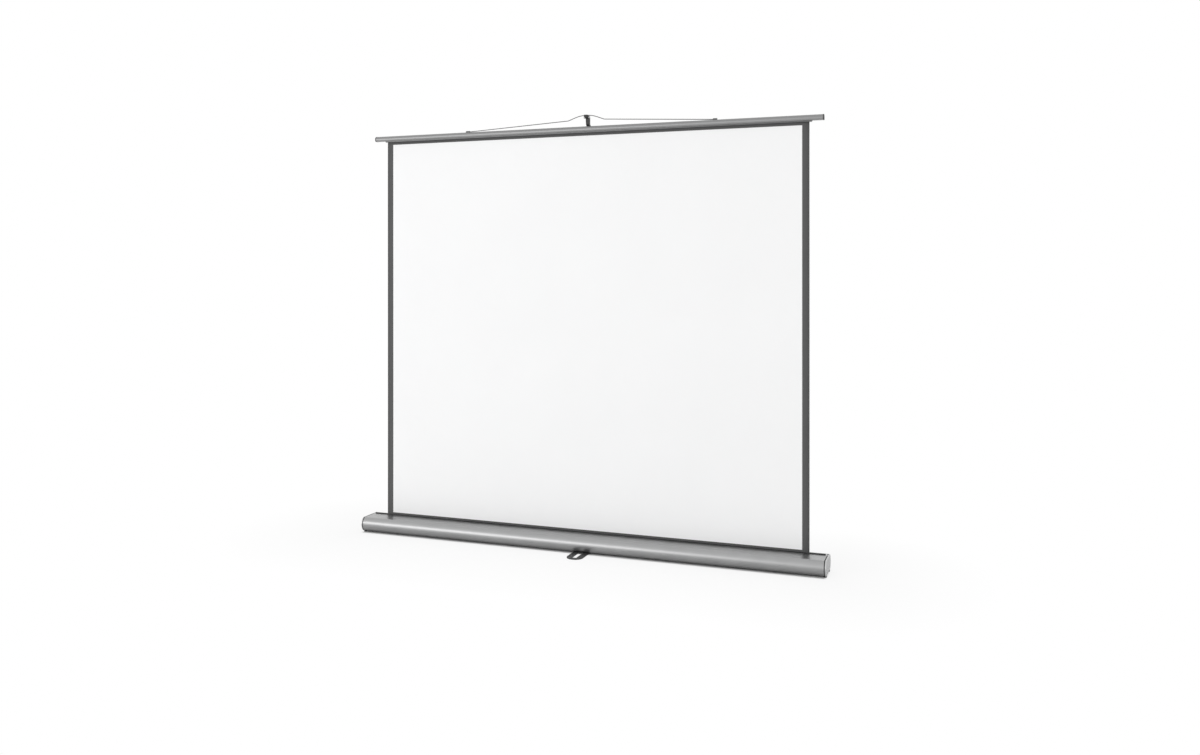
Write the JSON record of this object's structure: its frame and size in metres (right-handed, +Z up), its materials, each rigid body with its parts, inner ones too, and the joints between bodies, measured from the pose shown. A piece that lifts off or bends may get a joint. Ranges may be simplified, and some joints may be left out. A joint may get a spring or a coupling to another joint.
{
  "type": "portable projection screen",
  "caption": "Free-standing pull-up projection screen: white bordered cloth from a low oval floor case, top bar with wire bow hooked on a telescopic rear mast, swivel foot.",
  "frame": {"origin": "on the floor under the middle of the case", "axes": "+X along the case to the viewers' right, -Y towards the viewers, +Z up"},
  "size_m": [1.946, 0.292, 1.7351],
  "materials": {
    "case_aluminium": "satin",
    "bar_aluminium": "satin",
    "bar_dark": "satin",
    "black_plastic": "matte",
    "black_rubber": "matte",
    "lip_felt": "matte",
    "steel": "satin",
    "bush_nylon": "matte",
    "screen_cloth": "matte"
  },
  "bodies": {
    "case": {"case_extrusion": "case_aluminium", "base_tray": "case_aluminium", "base_skid": "black_plastic", "tray_screws": "steel", "end_cap_left": "case_aluminium", "end_cap_right": "case_aluminium", "end_seal_left": "black_rubber", "end_seal_right": "black_rubber", "end_cap_screws": "steel", "floor_pads": "black_rubber", "slot_lips": "lip_felt", "spring_shaft": "steel", "spring_anchor": "steel", "torsion_spring": "steel", "roller_bush": "bush_nylon", "mast_bracket": "black_plastic", "bracket_screws": "steel", "mast_lower_tube": "bar_aluminium", "lower_clamp_collar": "black_plastic", "lower_lever_pin": "steel", "foot_bolt": "steel", "foot_washer": "steel", "foot_nut": "steel", "screen_fabric": "screen_cloth"},
    "roller": {"roller_tube": "bar_aluminium", "fabric_roll": "screen_cloth", "roller_plug_left": "black_plastic", "roller_plug_right": "black_plastic", "roller_steady": "black_plastic"},
    "top_bar": {"top_bar": "bar_aluminium", "bar_strip": "bar_dark", "bar_cap_left": "black_plastic", "bar_cap_right": "black_plastic", "strip_screws": "steel", "fabric_welt": "bush_nylon", "hanger_wire": "steel", "wire_clips": "steel"},
    "mast_mid": {"mast_mid_tube": "bar_aluminium", "mid_bush": "bush_nylon", "upper_clamp_collar": "black_plastic", "upper_lever_pin": "steel"},
    "mast_upper": {"mast_upper_tube": "bar_aluminium", "upper_bush": "bush_nylon", "mast_hook": "black_plastic", "hook_rivet": "steel"},
    "lower_lever": {"lower_clamp_lever": "black_plastic"},
    "upper_lever": {"upper_clamp_lever": "black_plastic"},
    "foot": {"swivel_foot": "black_plastic", "foot_grips": "black_rubber"}
  },
  "joints": [
    {"name": "screen_lift", "type": "slide", "parent": "case", "child": "top_bar", "axis": [0, 0, 1], "range_m": [-0.9, 0], "deforming": ["screen_fabric"]},
    {"name": "mast_mid_slide", "type": "slide", "parent": "case", "child": "mast_mid", "axis": [0, 0, 1], "range_m": [-0.45, 0]},
    {"name": "mast_upper_slide", "type": "slide", "parent": "mast_mid", "child": "mast_upper", "axis": [0, 0, 1], "range_m": [-0.45, 0]},
    {"name": "roller_spin", "type": "hinge", "parent": "case", "child": "roller", "pos_m": [0, 0.00945, 0.038], "axis": [1, 0, 0], "range_deg": [-2660, 0]},
    {"name": "lower_lever_flip", "type": "hinge", "parent": "case", "child": "lower_lever", "pos_m": [0.0015, 0.1011, 0.594], "axis": [0, 0, 1], "range_deg": [0, 110]},
    {"name": "upper_lever_flip", "type": "hinge", "parent": "mast_mid", "child": "upper_lever", "pos_m": [0.0035, 0.0991, 1.109], "axis": [0, 0, 1], "range_deg": [0, 110]},
    {"name": "foot_swivel", "type": "hinge", "parent": "case", "child": "foot", "pos_m": [0.023, 0, 0.003], "axis": [0, 0, 1], "range_deg": [0, 90]}
  ],
  "couplings": [
    {"joint": "mast_mid_slide", "follows": "screen_lift", "ratio": 0.5},
    {"joint": "mast_upper_slide", "follows": "screen_lift", "ratio": 0.5},
    {"joint": "roller_spin", "follows": "screen_lift", "rad_per_m": 51.151}
  ]
}
